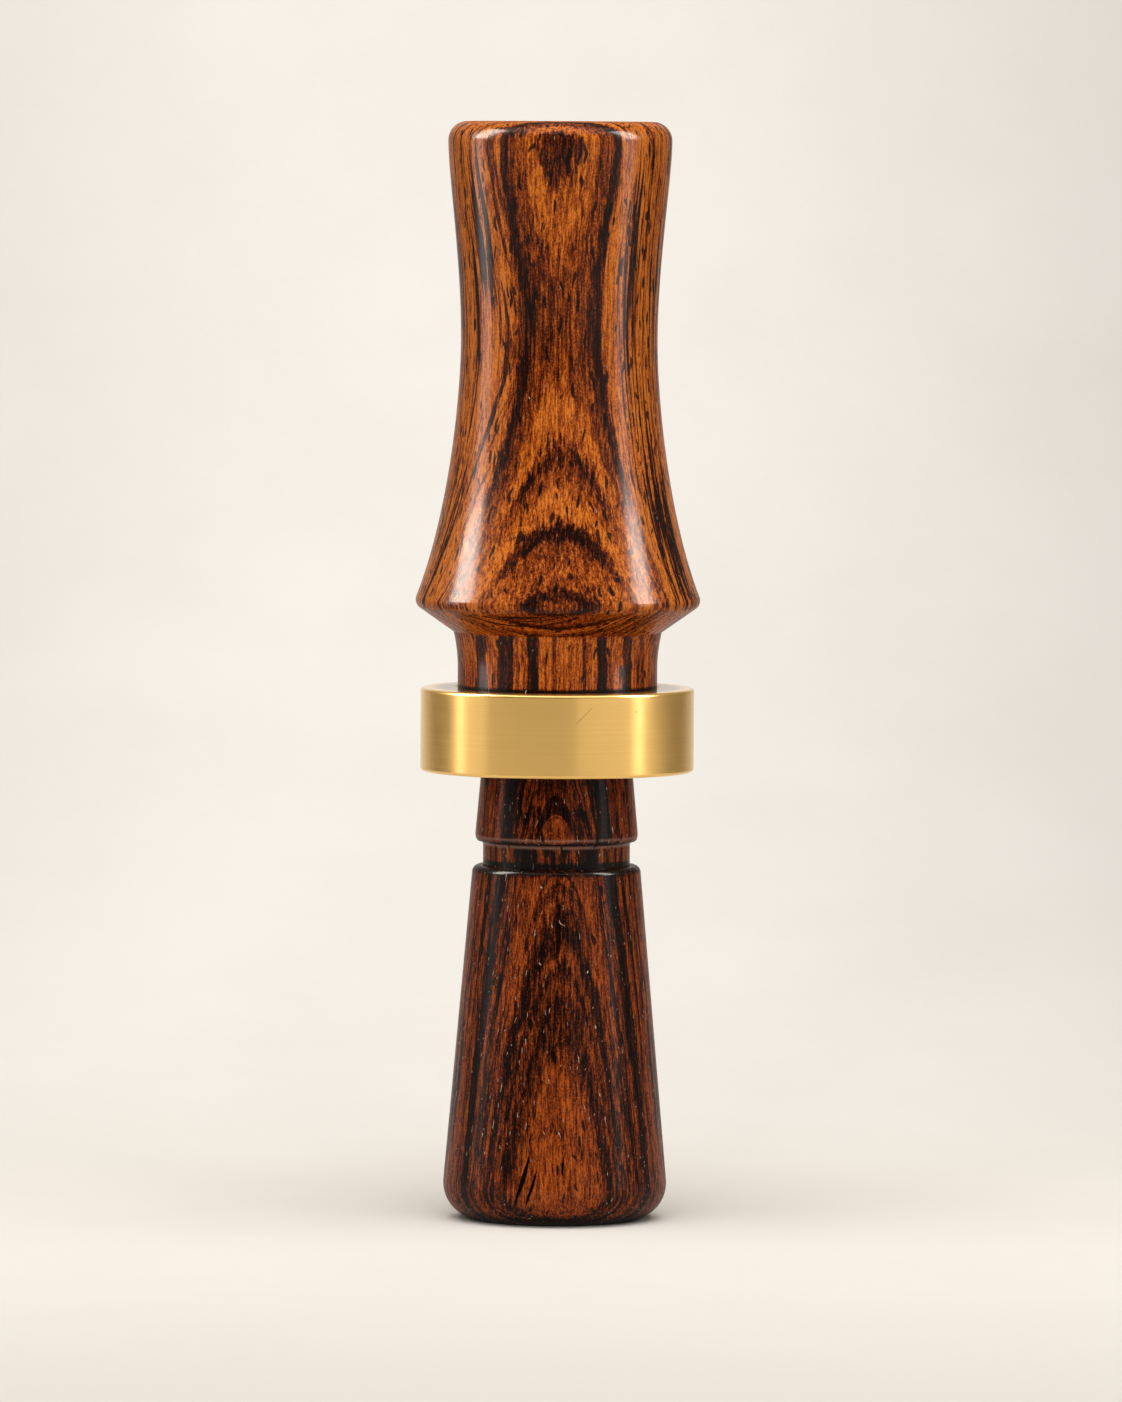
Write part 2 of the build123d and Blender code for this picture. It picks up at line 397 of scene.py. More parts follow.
@dataclass(frozen=True)
class LacqueredWood:
    """Lacquered wood with dark growth layers that lie across the front of the call.

    Lengths are in mm, levels are heights above the floor, and a pair of values is a range.
    layers holds depths from the axis towards the front, with the darkness of the wood there.
    corners holds levels where painted shade darkens the wood in recesses, at the foot and under the band, how
    far it reaches and how dark it is.
    painted_sheen_edges holds levels of rounded edges with a painted pale sheen, given in the same way.
    neck_streaks holds the middle, half width and darkness of each streak on the neck.
    """

    name: str
    layers: tuple[Pair, ...]
    colours: tuple[tuple[float, Colour], ...]
    corners: tuple[Triple, ...]
    level: float
    lean: float
    ragged: float
    stripe_density: float
    crown_depth: float
    dark_pores: Pores
    pale_pores: Pores
    coat_weight: float
    coat_roughness: float
    coat_ior: float = 1.45
    end_level: float | None = None
    end_reach: float = 0.35
    end_coat: float = 0.01
    slant: float = 0.0
    even_depth: float = 5.0
    even_share: float = 0.55
    stripe_run: float = 0.03
    stripe_detail: float = 4.0
    stripe_roughness: float = 0.7
    stripe_edge: Pair = (0.5, 0.57)
    striped_below: float = -10.0
    striped_reach: float = 0.8
    undercut_density: float = 3.7
    side_depths: Pair = (9.0, 12.0)
    front_share: float = 0.35
    neck_level: float = -10.0
    neck_reach: float = 0.5
    neck_streaks: tuple[Triple, ...] = ()
    neck_darkness: float = 0.28
    neck_tear: float = 1.2
    streak_edge: float = 0.35
    crown_sides: Pair = (4.0, 9.0)
    crown_edge: float = 0.2
    flank_level: float = -10.0
    flank_reach: float = 8.0
    flank_edge: Pair = (0.5, 0.8)
    fading: float = 0.5
    shares: tuple[tuple[str, float], ...] = (("Fibre", 0.42), ("Streaks", 0.32), ("Grain", 0.3))
    # Levels of rounded edges with a painted pale sheen, and the sheen's colour.
    painted_sheen_edges: tuple[Triple, ...] = ()
    painted_sheen_colour: Colour = tone(176, 132, 116)
    pore_colour: Colour = tone(14, 7, 5)
    pore_cover: float = 0.92
    pale_darkness: Pair = (0.3, 0.62)
    pale_colours: tuple[Colour, Colour] = (tone(196, 130, 84), tone(222, 208, 194))
    roughness: Pair = (0.42, 0.58)
    specular: float = 0.02
    fibre_relief: float = 0.2
    grain_relief: float = 0.15
    relief_strength: float = 0.3
    relief_depth: float = 0.08

    def material(self, groups: Groups) -> bpy.types.Material:
        """Makes the material.

        Args:
            groups: The shared node groups.

        Returns:
            The material.
        """
        material, graph, surface = new_material(self.name)
        place = graph.place()
        inputs = {"Place": place, "Level": self.level, "Lean": self.lean, "Ragged": self.ragged}
        figure = graph.group(groups.figure, inputs)
        fibre, grain = figure.outputs["Fibre"], figure.outputs["Grain"]
        across, _, along = graph.axes(graph.stretch(place, MILLIMETRES))
        darkness = self.darkness(graph, figure, across, along)
        wood = graph.ramp(darkness, list(self.colours))
        # Painted sheen: pale bands on rounded edges stand in for the bright floor's reflection.
        for edge, reach, strength in self.painted_sheen_edges:
            wear_and_sheen = graph.span(graph.apart(along, edge), 0.0, reach, strength, 0.0)
            wood = graph.mix(wear_and_sheen, wood, self.painted_sheen_colour)
        pores = self.dark_pores.mask(graph, groups, place)
        wood = graph.mix(graph.math("MULTIPLY", pores, self.pore_cover), wood, self.pore_colour)
        filled = self.pale_pores.mask(graph, groups, place)
        filled = graph.math("MULTIPLY", filled, graph.span(darkness, *self.pale_darkness))
        wood = graph.mix(filled, wood, graph.mix(grain, *self.pale_colours))
        graph.feed(surface.inputs["Base Color"], wood)
        graph.feed(surface.inputs["Roughness"], graph.span(fibre, 0.0, 1.0, *self.roughness))
        fibre_relief = graph.math("MULTIPLY", fibre, self.fibre_relief)
        relief = graph.math("ADD", fibre_relief, graph.math("MULTIPLY", grain, self.grain_relief))
        relief = graph.math("SUBTRACT", relief, pores)
        normal = graph.bump(relief, self.relief_strength, self.relief_depth * MM)
        graph.feed(surface.inputs["Normal"], normal)
        graph.feed(surface.inputs["Specular IOR Level"], self.specular)
        coat: Value = self.coat_weight
        if self.end_level is not None:
            start = self.end_level - self.end_reach
            coat = graph.span(along, start, self.end_level, self.coat_weight, self.end_coat)
        graph.feed(surface.inputs["Coat Weight"], coat)
        graph.feed(surface.inputs["Coat Roughness"], self.coat_roughness)
        graph.feed(surface.inputs["Coat IOR"], self.coat_ior)
        return material

    def darkness(
        self, graph: Graph, figure: bpy.types.Node, across: Value, along: Value
    ) -> bpy.types.NodeSocket:
        """Finds how dark the wood is, with painted shade added at the recess levels.

        Args:
            graph: The material's graph.
            figure: The node of the wood's figure.
            across: The place across the front, in mm.
            along: The level, in mm.

        Returns:
            The darkness, from 0 to 1.
        """
        layers = self.layer_rows(graph, figure.outputs["Depth"], across, along)
        dark = graph.math("MAXIMUM", layers, self.side_rows(graph, figure, across, along))
        if self.neck_streaks:
            neck = graph.span(along, self.neck_level, self.neck_level - self.neck_reach)
            dark = graph.span(neck, 0.0, 1.0, dark, self.neck_rows(graph, figure, across))
        for output, share in self.shares:
            change = graph.math("SUBTRACT", figure.outputs[output], NOISE_MIDDLE)
            dark = graph.math("ADD", dark, graph.math("MULTIPLY", change, share))
        # Painted shade: the wood darkens round the levels of recesses, the foot and the band's underside.
        for corner, reach, strength in self.corners:
            recess_shade = graph.span(graph.apart(along, corner), 0.0, reach, strength, 0.0)
            dark = graph.math("ADD", dark, recess_shade)
        return dark

    def layer_rows(self, graph: Graph, depth: Value, across: Value, along: Value) -> bpy.types.NodeSocket:
        """Finds how dark the growth layers are, which fade beside the crown and below the flank.

        Args:
            graph: The material's graph.
            depth: The depth in the layers, in mm.
            across: The place across the front, in mm.
            along: The level, in mm.

        Returns:
            The darkness, from 0 to 1.
        """
        stops = [(layer / LAYER_SPAN, (dark, dark, dark, 1.0)) for layer, dark in self.layers]
        layers = graph.ramp(graph.math("DIVIDE", graph.math("ABSOLUTE", depth), LAYER_SPAN), stops)
        beside = graph.span(graph.math("ABSOLUTE", across), *self.crown_sides)
        crown = graph.span(depth, self.crown_depth, self.crown_depth + self.crown_edge, 0.0, self.fading)
        low = graph.span(along, self.flank_level, self.flank_level - self.flank_reach, 0.0, self.fading)
        flank = graph.span(depth, *(self.crown_depth - edge for edge in self.flank_edge))
        crown = graph.math("MULTIPLY", beside, crown)
        fading = graph.math("MAXIMUM", crown, graph.math("MULTIPLY", low, flank))
        return graph.math("MULTIPLY", layers, graph.math("SUBTRACT", 1.0, fading))

    def side_rows(
        self, graph: Graph, figure: bpy.types.Node, across: Value, along: Value
    ) -> bpy.types.NodeSocket:
        """Finds how dark the fine stripes on the sides and on the undercut are.

        Args:
            graph: The material's graph.
            figure: The node of the wood's figure.
            across: The place across the front, in mm.
            along: The level, in mm.

        Returns:
            The darkness, from 0 to 1.
        """
        striped = graph.span(along, self.striped_below, self.striped_below - self.striped_reach)
        slanted = graph.math("ADD", figure.outputs["Smooth"], graph.math("MULTIPLY", across, self.slant))
        near = graph.math("MAXIMUM", graph.math("MINIMUM", slanted, self.even_depth), -self.even_depth)
        slanted = graph.math("SUBTRACT", slanted, graph.math("MULTIPLY", near, self.even_share))
        density = graph.span(striped, 0.0, 1.0, self.stripe_density, self.undercut_density)
        rows = graph.math("MULTIPLY", slanted, density)
        run = graph.math("MULTIPLY", along, self.stripe_run)
        stripes = graph.noise(graph.join(rows, 0.0, run), self.stripe_detail, self.stripe_roughness)
        side = graph.span(figure.outputs["Depth"], *self.side_depths, 1.0, self.front_share)
        side = graph.math("MAXIMUM", side, striped)
        return graph.math("MULTIPLY", graph.span(stripes, *self.stripe_edge), side)

    def neck_rows(self, graph: Graph, figure: bpy.types.Node, across: Value) -> bpy.types.NodeSocket:
        """Finds how dark the streaked wood of the neck is.

        Args:
            graph: The material's graph.
            figure: The node of the wood's figure.
            across: The place across the front, in mm.

        Returns:
            The darkness, from 0 to 1.
        """
        torn = graph.math("SUBTRACT", figure.outputs["Depth"], figure.outputs["Smooth"])
        place = graph.math("ADD", across, graph.math("MULTIPLY", torn, self.neck_tear))
        dark: Value = self.neck_darkness
        for middle, half, strength in self.neck_streaks:
            streak = graph.span(graph.apart(place, middle), half + self.streak_edge, half, 0.0, strength)
            dark = graph.math("MAXIMUM", dark, streak)
        return dark


WOOD_COLOURS = (
    (0.0, tone(226, 128, 42)),
    (0.25, tone(184, 88, 22)),
    (0.5, tone(124, 52, 12)),
    (0.75, tone(64, 22, 6)),
    (1.0, tone(24, 8, 4)),
)
RED_WOOD_COLOURS = (
    (0.0, tone(194, 94, 33)),
    (0.25, tone(156, 70, 23)),
    (0.5, tone(105, 43, 15)),
    (0.75, tone(44, 17, 8)),
    (1.0, tone(12, 6, 5)),
)
BARREL_WOOD = LacqueredWood(
    name="barrel_wood",
    layers=(
        (0.0, 0.13),
        (9.0, 0.13),
        (10.2, 0.18),
        (10.8, 0.1),
        (11.15, 0.3),
        (11.35, 0.9),
        (11.7, 0.95),
        (11.95, 0.62),
        (12.5, 0.54),
        (12.8, 0.25),
        (13.2, 0.22),
        (13.42, 0.7),
        (13.6, 0.85),
        (13.8, 0.55),
        (14.1, 0.45),
        (14.4, 0.15),
        (14.9, 0.2),
        (15.15, 0.9),
        (15.45, 1.0),
        (15.7, 0.55),
        (16.6, 0.4),
        (17.4, 0.45),
        (17.7, 0.9),
        (17.95, 0.85),
        (18.3, 0.5),
    ),
    colours=WOOD_COLOURS,
    # Painted shade where the neck meets the band, with a faint wider darkening round it.
    corners=((68.0, 0.5, 0.9), (68.0, 3.0, 0.05)),
    level=95.0,
    lean=0.0154,
    ragged=1.1,
    stripe_density=1.6,
    crown_depth=12.9,
    dark_pores=Pores(0.78, 4.2, 0.45, 0.85),
    pale_pores=Pores(0.34, 4.6, 0.19, 0.14),
    slant=-0.3,
    striped_below=78.4,
    neck_level=75.3,
    neck_streaks=(
        (-12.7, 0.7, 0.45),
        (-9.6, 0.5, 0.84),
        (-6.6, 0.8, 0.94),
        (-3.1, 0.55, 0.94),
        (-0.4, 0.1, 0.6),
        (3.4, 0.1, 0.66),
        (5.6, 0.5, 0.94),
        (8.8, 0.45, 0.84),
        (10.8, 0.15, 0.6),
        (12.7, 0.6, 0.45),
    ),
    flank_level=97.0,
    end_level=139.95,
    coat_weight=0.3,
    coat_roughness=0.17,
)
INSERT_WOOD = LacqueredWood(
    name="insert_wood",
    layers=(
        (0.0, 0.4),
        (6.2, 0.4),
        (6.6, 0.75),
        (6.9, 0.45),
        (7.7, 0.5),
        (7.95, 0.95),
        (8.25, 1.1),
        (8.5, 0.95),
        (8.8, 0.5),
        (9.4, 0.45),
        (9.7, 0.7),
        (10.0, 0.4),
        (10.8, 0.35),
        (11.1, 0.8),
        (11.4, 0.9),
        (11.6, 0.4),
        (11.8, 0.85),
        (12.0, 0.45),
        (12.3, 0.8),
        (12.7, 0.75),
        (13.0, 0.4),
        (14.4, 0.28),
    ),
    colours=RED_WOOD_COLOURS,
    # Painted shade at the foot's bottom edge, the cone's top rim, the groove's corners and under the band.
    corners=((0.0, 1.8, 0.55), (45.0, 0.9, 0.5), (45.75, 0.5, 0.7), (48.4, 0.3, 0.7), (57.3, 0.5, 0.9)),
    level=25.0,
    lean=0.0,
    ragged=1.0,
    stripe_density=1.7,
    crown_depth=14.0,
    dark_pores=Pores(0.78, 3.2, 0.4, 0.5),
    pale_pores=Pores(0.34, 4.6, 0.19, 0.95),
    # Painted sheen on the collar's lower rim and the groove's top fillet.
    painted_sheen_edges=((48.1, 0.38, 0.6), (49.0, 0.3, 0.4)),
    coat_weight=0.23,
    coat_roughness=0.16,
)


@dataclass(frozen=True)
class TurnedBrass:
    """Brass with fine turning lines: satin on the side, with painted shade on the top face inside its rim.

    Lengths are in mm, and a pair of values is a range.
    """

    name: str
    colour: Colour
    side_roughness: float
    face_roughness: float
    face_level: float
    face_edge: Pair = (0.06, 0.02)
    line_colour: Colour = tone(248, 201, 117)
    line_detail: float = 3.0
    line_roughness: float = 0.7
    line_dullness: float = 0.1
    cloud_dullness: float = 0.03
    turn_scale: Triple = (14.0, 14.0, 0.0)
    side_line_scale: float = 4.5
    face_line_scale: float = 9.0
    mark_colour: Colour = tone(112, 72, 30)
    mark_cover: float = 0.6
    # Painted shade on the top face: its colour and how far it fades in from the rim.
    face_shade_colour: Colour = tone(122, 83, 43)
    face_shade_fade: float = 2.2
    rim_radius: float = 16.7
    scratch_level: float = 61.9
    scratch_middle: float = 3.45
    scratch_width: Pair = (0.08, 0.02)
    scratch_length: Pair = (1.1, 0.8)
    metallic: Pair = (0.7, 0.3)
    specular: float = 0.15
    coat_weight: float = 0.12
    coat_roughness: float = 0.1
    relief_strength: float = 0.05
    relief_depth: float = 0.02

    def material(self, groups: Groups) -> bpy.types.Material:
        """Makes the material.

        Args:
            groups: The shared node groups.

        Returns:
            The material.
        """
        material, graph, surface = new_material(self.name)
        place = graph.place()
        across, deep, along = graph.axes(graph.stretch(place, MILLIMETRES))
        squares = graph.math("ADD", graph.math("POWER", across, 2.0), graph.math("POWER", deep, 2.0))
        radius = graph.math("SQRT", squares)
        on_face = graph.span(along, *(self.face_level - edge for edge in self.face_edge))
        lines = self.lines(graph, place, along, radius, on_face)
        dust = graph.group(groups.dust, {"Place": place})
        dull = graph.math("MULTIPLY", graph.math("SUBTRACT", lines, NOISE_MIDDLE), self.line_dullness)
        rough = graph.span(on_face, 0.0, 1.0, self.side_roughness, self.face_roughness)
        rough = graph.math("ADD", rough, dull)
        rough = graph.math("ADD", rough, graph.math("MULTIPLY", dust.outputs["Cloud"], self.cloud_dullness))
        graph.feed(surface.inputs["Roughness"], rough)
        brushed = graph.mix(graph.span(lines, *NOISE_BODY), self.line_colour, self.colour)
        marks = graph.math("MAXIMUM", dust.outputs["Specks"], self.scratch(graph, across, deep, along))
        marked = graph.mix(graph.math("MULTIPLY", marks, self.mark_cover), brushed, self.mark_colour)
        # Painted shade: the top face turns dark brown and less metallic inside its rim, towards the neck.
        inside = graph.span(radius, self.rim_radius, self.rim_radius - self.face_shade_fade)
        face_shade = graph.math("MULTIPLY", on_face, inside)
        graph.feed(surface.inputs["Base Color"], graph.mix(face_shade, marked, self.face_shade_colour))
        graph.feed(surface.inputs["Metallic"], graph.span(face_shade, 0.0, 1.0, *self.metallic))
        graph.feed(surface.inputs["Specular IOR Level"], self.specular)
        graph.feed(surface.inputs["Coat Weight"], self.coat_weight)
        graph.feed(surface.inputs["Coat Roughness"], self.coat_roughness)
        graph.feed(surface.inputs["Normal"], graph.bump(lines, self.relief_strength, self.relief_depth * MM))
        return material

    def lines(
        self, graph: Graph, place: Value, along: Value, radius: Value, on_face: Value
    ) -> bpy.types.NodeSocket:
        """Draws the turning lines.

        Args:
            graph: The material's graph.
            place: The point on the piece.
            along: The level, in mm.
            radius: The distance from the axis, in mm.
            on_face: A mask that is 1 on the top face.

        Returns:
            The lines, from 0 to 1.
        """
        turn_across, turn_deep, _ = graph.axes(graph.stretch(place, self.turn_scale))
        side = graph.join(turn_across, turn_deep, graph.math("MULTIPLY", along, self.side_line_scale))
        face = graph.join(graph.math("MULTIPLY", radius, self.face_line_scale), 0.0, 0.0)
        drawn = [graph.noise(vector, self.line_detail, self.line_roughness) for vector in (side, face)]
        return graph.mix(on_face, *drawn)

    def scratch(self, graph: Graph, across: Value, deep: Value, along: Value) -> bpy.types.NodeSocket:
        """Draws the slanting scratch on the front.

        Args:
            graph: The material's graph.
            across: The place across the front, in mm.
            deep: The place behind the axis, in mm.
            along: The level, in mm.

        Returns:
            A mask that is 1 in the scratch.
        """
        slant = graph.apart(graph.math("SUBTRACT", along, across), self.scratch_level)
        ends = graph.span(graph.apart(across, self.scratch_middle), *self.scratch_length)
        scratch = graph.math("MULTIPLY", graph.span(slant, *self.scratch_width), ends)
        return graph.math("MULTIPLY", scratch, graph.math("LESS_THAN", deep, 0.0))


@dataclass(frozen=True)
class Moulded:
    """A plain moulded or cut material: its colours, roughness and fine marks, with the relief in mm."""

    name: str
    light: Colour
    dark: Colour
    roughness: float
    marks: Noise
    relief: float
    clear: float = 0.0
    mark_shade: float = 0.6
    cloud_shade: float = 0.4
    mark_roughness: float = 0.16
    relief_strength: float = 0.3

    def material(self, groups: Groups) -> bpy.types.Material:
        """Makes the material.

        Args:
            groups: The shared node groups.

        Returns:
            The material.
        """
        material, graph, surface = new_material(self.name)
        place = graph.place()
        marks = graph.scaled(graph.stretch(place, MILLIMETRES), self.marks)
        dust = graph.group(groups.dust, {"Place": place})
        wear_and_sheen = graph.math("MULTIPLY", dust.outputs["Cloud"], self.cloud_shade)
        shade = graph.math("ADD", graph.span(marks, *NOISE_BODY, 0.0, self.mark_shade), wear_and_sheen)
        graph.feed(surface.inputs["Base Color"], graph.mix(shade, self.dark, self.light))
        rough = graph.math("ADD", graph.math("MULTIPLY", marks, self.mark_roughness), self.roughness)
        graph.feed(surface.inputs["Roughness"], rough)
        graph.feed(surface.inputs["Transmission Weight"], self.clear)
        graph.feed(surface.inputs["Normal"], graph.bump(marks, self.relief_strength, self.relief * MM))
        return material


MARK_DETAIL = 4.0
MARK_ROUGHNESS = 0.65


def fine_marks(across: float, deep: float, along: float) -> Noise:
    """Returns the noise of fine marks, from how often they change per mm on each axis."""
    return Noise((across, deep, along), MARK_DETAIL, MARK_ROUGHNESS)


Finish = LacqueredWood | TurnedBrass | Moulded
BRASS = TurnedBrass("turned_brass", tone(254, 208, 124), 0.19, 0.14, 67.95)
ACETAL = Moulded("black_acetal", tone(46, 46, 48), tone(20, 20, 22), 0.32, fine_marks(9.0, 0.5, 0.7), 0.02)
REED_FILM = Moulded(
    "reed_film", tone(236, 226, 198), tone(214, 202, 170), 0.28, fine_marks(6.0, 6.0, 0.6), 0.006, 0.25
)
CORK = Moulded("cork", tone(206, 160, 108), tone(128, 82, 48), 0.75, fine_marks(1.6, 1.6, 1.6), 0.12)
RUBBER = Moulded("seal_rubber", tone(38, 37, 36), tone(16, 16, 17), 0.45, fine_marks(2.5, 2.5, 2.5), 0.02)
# Raw wood inside the drying checks, darkened near to black with painted shade.
SHADED_RAW_WOOD = Moulded(
    "raw_wood_with_painted_shade_in_checks", tone(40, 24, 16), tone(12, 8, 7), 0.85, fine_marks(4.0, 4.0, 1.0), 0.05
)


def finished(mesh: bmesh.types.BMesh, name: str) -> bpy.types.Object:
    """Turns a bmesh into a smooth piece at the origin.

    Args:
        mesh: The shape, which is freed.
        name: The piece's name.

    Returns:
        The piece.
    """
    data = bpy.data.meshes.new(name)
    mesh.to_mesh(data)
    mesh.free()
    data.shade_smooth()
    data.set_sharp_from_angle(angle=SHARP_ANGLE)
    piece = bpy.data.objects.new(name, data)
    bpy.context.scene.collection.objects.link(piece)
    return piece


def carve(piece: bpy.types.Object, cutter: bpy.types.Object) -> None:
    """Cuts a shape out of a piece and removes the cutter.

    Args:
        piece: The piece to cut.
        cutter: What is taken away.
    """
    cut = piece.modifiers.new("cut", "BOOLEAN")
    cut.operation = "DIFFERENCE"
    cut.solver = "EXACT"
    cut.material_mode = "TRANSFER"
    cut.object = cutter
    cut_piece = piece.evaluated_get(bpy.context.evaluated_depsgraph_get())
    data = bpy.data.meshes.new_from_object(cut_piece)
    piece.modifiers.clear()
    piece.data = data
    data.shade_smooth()
    data.set_sharp_from_angle(angle=SHARP_ANGLE)
    bpy.data.objects.remove(cutter)


def even_normals(piece: bpy.types.Object) -> None:
    """Keeps the flat and straight runs of a piece flat where they meet rounded edges."""
    modifier = piece.modifiers.new("even_normals", "WEIGHTED_NORMAL")
    modifier.keep_sharp = True


def dress(piece: bpy.types.Object, finish: Finish, groups: Groups) -> None:
    """Gives a piece its finish.

    Args:
        piece: The piece.
        finish: The finish, which makes the material.
        groups: The shared node groups.
    """
    piece.data.materials.append(finish.material(groups))


class Softened(Enum):
    """What a bevel softens."""

    CORNERS = "VERTICES"
    EDGES = "EDGES"


def bevelled(mesh: bmesh.types.BMesh, geom: list, offset: float, softened: Softened, segments: int) -> None:
    """Bevels corners or edges of a shape.

    Args:
        mesh: The shape.
        geom: The corners or edges.
        offset: How far the bevel reaches, in metres.
        softened: Which of the two they are.
        segments: How many parts the bevel has.
    """
    bmesh.ops.bevel(
        mesh,
        geom=geom,
        offset=offset,
        offset_type="OFFSET",
        affect=softened.value,
        segments=segments,
        profile=0.5,
        material=-1,
    )


def corners_of(parts: list) -> list[bmesh.types.BMVert]:
    """Returns the corners among the parts that an operator has made."""
    return [part for part in parts if isinstance(part, bmesh.types.BMVert)]


def swept(mesh: bmesh.types.BMesh, faces: list[bmesh.types.BMFace], way: Triple) -> None:
    """Sweeps faces into a solid.

    Args:
        mesh: The shape that they are part of.
        faces: The faces.
        way: How far they are swept along each axis, in mm.
    """
    grown = bmesh.ops.extrude_face_region(mesh, geom=faces)["geom"]
    bmesh.ops.translate(mesh, verts=corners_of(grown), vec=tuple(part * MM for part in way))


class Lathe:
    """A closed outline in the XZ plane that is turned round the Z axis."""

    def __init__(self) -> None:
        """Starts an empty outline."""
        self.mesh = bmesh.new()
        self.outline: list[bmesh.types.BMVert] = []
        self.roundings: dict[bmesh.types.BMVert, float] = {}

    def to(self, radius: float, height: float, rounding: float = 0.0) -> None:
        """Adds a corner.

        Args:
            radius: Distance from the axis, in mm.
            height: Level above the floor, in mm.
            rounding: Radius of the rounded corner, in mm.
        """
        corner = self.mesh.verts.new((radius * MM, 0.0, height * MM))
        if rounding:
            self.roundings[corner] = rounding * MM
        self.outline.append(corner)

    def curve(self, first: Pair, second: Pair, end: Pair, parts: int) -> None:
        """Adds a Bezier run from the last corner.

        Args:
            first: The handle of the last corner, as radius and height in mm.
            second: The handle of the end.
            end: The end of the run.
            parts: How many straight parts the run is made of.
        """
        start = self.outline[-1]
        run = [Vector((radius, 0.0, height)) * MM for radius, height in (first, second, end)]
        clear = CURVE_CLEARANCE * self.roundings.get(start, 0.0)
        for point in interpolate_bezier(start.co, *run, parts + 1)[1:]:
            if (point - start.co).length > clear:
                self.outline.append(self.mesh.verts.new(point))

    def round_off(self) -> None:
        """Closes the outline and rounds its marked corners."""
        count = len(self.outline)
        for index, corner in enumerate(self.outline):
            self.mesh.edges.new((corner, self.outline[(index + 1) % count]))
        setbacks = {}
        for index, corner in enumerate(self.outline):
            if corner in self.roundings:
                arriving = corner.co - self.outline[index - 1].co
                leaving = self.outline[(index + 1) % count].co - corner.co
                setbacks[corner] = self.roundings[corner] * math.tan(arriving.angle(leaving) / 2)
        for corner, setback in setbacks.items():
            segments = max(FEWEST_SEGMENTS, round(self.roundings[corner] / MM * SEGMENTS_PER_MM))
            bevelled(self.mesh, [corner], setback, Softened.CORNERS, segments)

    def turn(self, name: str, steps: int = TURN_STEPS) -> bpy.types.Object:
        """Turns the outline into a piece.

        Args:
            name: The piece's name.
            steps: How many parts the turn has.

        Returns:
            The piece.
        """
        self.round_off()
        outline = self.mesh.verts[:] + self.mesh.edges[:]
        bmesh.ops.spin(
            self.mesh,
            geom=outline,
            cent=(0.0, 0.0, 0.0),
            axis=(0.0, 0.0, 1.0),
            angle=math.tau,
            steps=steps,
            use_merge=True,
        )
        bmesh.ops.remove_doubles(self.mesh, verts=self.mesh.verts, dist=MERGE_DISTANCE)
        bmesh.ops.recalc_face_normals(self.mesh, faces=self.mesh.faces)
        return finished(self.mesh, name)


def side_cut(outline: list[Pair], half_width: float) -> bpy.types.Object:
    """Makes a cutter from an outline seen from the side.

    Args:
        outline: Corners as depth and height, in mm.
        half_width: How far the cutter reaches to both sides, in mm.

    Returns:
        The cutter.
    """
    mesh = bmesh.new()
    corners = [mesh.verts.new((-half_width * MM, deep * MM, height * MM)) for deep, height in outline]
    swept(mesh, [mesh.faces.new(corners)], (2 * half_width, 0.0, 0.0))
    bmesh.ops.recalc_face_normals(mesh, faces=mesh.faces)
    return finished(mesh, "side_cut")


